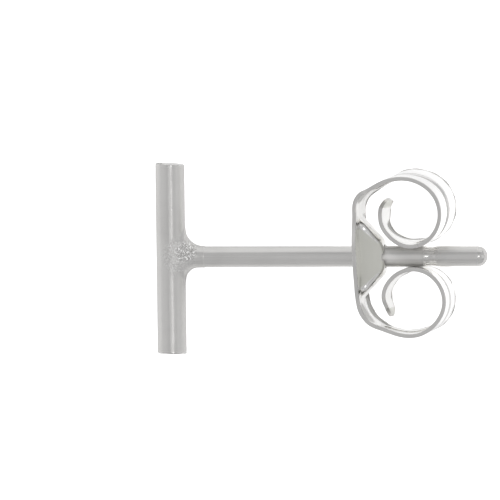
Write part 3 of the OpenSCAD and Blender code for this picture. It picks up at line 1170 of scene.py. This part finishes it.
def make_floor():
    """A plain white surface, lit from below like a light table."""
    n = Nodes("white_surface")
    n.give(n.shader, "Base Color", (FLOOR_WHITE, FLOOR_WHITE, FLOOR_WHITE, 1))
    n.give(n.shader, "Roughness", 0.9)
    n.give(n.shader, "Specular IOR Level", 0.1)
    n.give(n.shader, "Emission Color", (1, 1, 1, 1))
    away = n.add("ShaderNodeVectorMath")
    away.operation = "DISTANCE"
    n.give(away, 0, n.add("ShaderNodeNewGeometry").outputs["Position"])
    n.give(away, 1, SPOT_AT)
    spot = n.spread(away.outputs["Value"], SPOT_FROM, SPOT_TO, GLOW_SPOT, GLOW_SEEN)
    shown = n.add("ShaderNodeLightPath").outputs["Is Camera Ray"]
    n.give(n.shader, "Emission Strength", n.spread(shown, 0, 1, spot, GLOW_SHOWN))
    mesh = bpy.data.meshes.new("floor")
    corners = [(-1, -1), (1, -1), (1, 1), (-1, 1)]
    mesh.from_pydata([(x * FLOOR_HALF, y * FLOOR_HALF, 0) for x, y in corners], [], [(0, 1, 2, 3)])
    mesh.materials.append(n.material)
    obj = show(bpy.data.objects.new("floor", mesh))


# Soft boxes: name, azimuth and elevation in degrees, width and height in metres, and
# brightness. Azimuth 0 is beyond the post's tip, and 90 beyond the bar's upper end. The
# low ones are darker than the world, and give the metal's edges their darker lines
SOFT_BOXES = [
    ("lamp", 0, 84, 0.09, 0.12, 1.6),
    ("behind", 90, 13, 0.9, 0.36, 0.26),
    ("right", 0, 14, 0.25, 0.8, 0.14),
    ("left", 180, 14, 0.25, 0.8, 0.09),
]
BOX_DISTANCE = 0.5
# The world's brightness as the metal sees it and as the picture shows it, and its colour
WORLD_GREY = 0.54
WORLD_SHOWN = 1.1
WORLD_COLOR = (0.985, 0.985, 1, 1)
# The key light comes from beyond the bar's upper end: its elevation, and how far it leans
# towards the post's tip
KEY_UP = math.radians(52)
KEY_LEAN = 0.1
KEY_STRENGTH = 1.2
KEY_SOFTNESS = math.radians(16)


def make_soft_box(name, azimuth, elevation, width, height, radiance):
    """A rectangular soft light of a given brightness, facing the stud."""
    light = bpy.data.lights.new(name, "AREA")
    light.shape = "RECTANGLE"
    light.size, light.size_y = width, height
    light.energy = 4 * width * height * radiance
    obj = show(bpy.data.objects.new(name, light))
    a, e = math.radians(azimuth), math.radians(elevation)
    away = Vector((math.cos(a) * math.cos(e), math.sin(a) * math.cos(e), math.sin(e)))
    obj.location = away * BOX_DISTANCE
    obj.rotation_euler = away.to_track_quat("Z", "Y").to_euler()
    obj.visible_camera = False


def make_light():
    """A pale world, the soft boxes, and a key light for the shadows on the surface."""
    world = bpy.data.worlds.new("studio")
    bpy.context.scene.world = world
    world.use_nodes = True
    tree = world.node_tree
    background = tree.nodes["Background"]
    background.inputs["Color"].default_value = WORLD_COLOR
    path = tree.nodes.new("ShaderNodeLightPath")
    level = tree.nodes.new("ShaderNodeMapRange")
    level.inputs["To Min"].default_value = WORLD_GREY
    level.inputs["To Max"].default_value = WORLD_SHOWN
    tree.links.new(path.outputs["Is Camera Ray"], level.inputs["Value"])
    tree.links.new(level.outputs["Result"], background.inputs["Strength"])
    for box in SOFT_BOXES:
        make_soft_box(*box)
    # The metal doesn't mirror the key light
    key = bpy.data.lights.new("key", "SUN")
    key.energy, key.angle = KEY_STRENGTH, KEY_SOFTNESS
    obj = show(bpy.data.objects.new("key", key))
    away = Vector((KEY_LEAN, math.cos(KEY_UP), math.sin(KEY_UP)))
    obj.rotation_euler = away.to_track_quat("Z", "Y").to_euler()
    obj.visible_glossy = False


# The camera looks down on the lying stud from this far towards the bar's upper end
CAMERA_PITCH = math.radians(4)
CAMERA_ROLL = math.radians(0.75)
PX_PER_MM = 27
LENS_MM = 1200
SENSOR_MM = 36
FRAME_PX = 500
# Nearest and farthest distance that the camera sees, in metres
CAMERA_CLIP = (0.01, 10)
# What the middle of the picture shows: a place along the post, and one along the bar
VIEW_U = 2.97
VIEW_V = 0.244


def make_camera():
    """The photo's view of the stud, at the photo's scale."""
    camera = bpy.data.cameras.new("camera")
    camera.lens, camera.sensor_width = LENS_MM, SENSOR_MM
    camera.clip_start, camera.clip_end = CAMERA_CLIP
    distance = FRAME_PX / PX_PER_MM * LENS_MM / SENSOR_MM
    target = to_frame(np.array([[VIEW_U, VIEW_V, 0]]))[0]
    away = np.array([0, math.sin(CAMERA_PITCH), math.cos(CAMERA_PITCH)])
    obj = show(bpy.data.objects.new("camera", camera))
    obj.location = (target + away * distance) * MM
    turn = Matrix.Rotation(-CAMERA_PITCH, 3, "X") @ Matrix.Rotation(-CAMERA_ROLL, 3, "Z")
    obj.rotation_euler = turn.to_euler()
    bpy.context.scene.camera = obj


make_camera()
make_stud(drawn_silver())
make_back(stamped_silver())
make_floor()
make_light()
bpy.context.scene.view_settings.view_transform = "Standard"
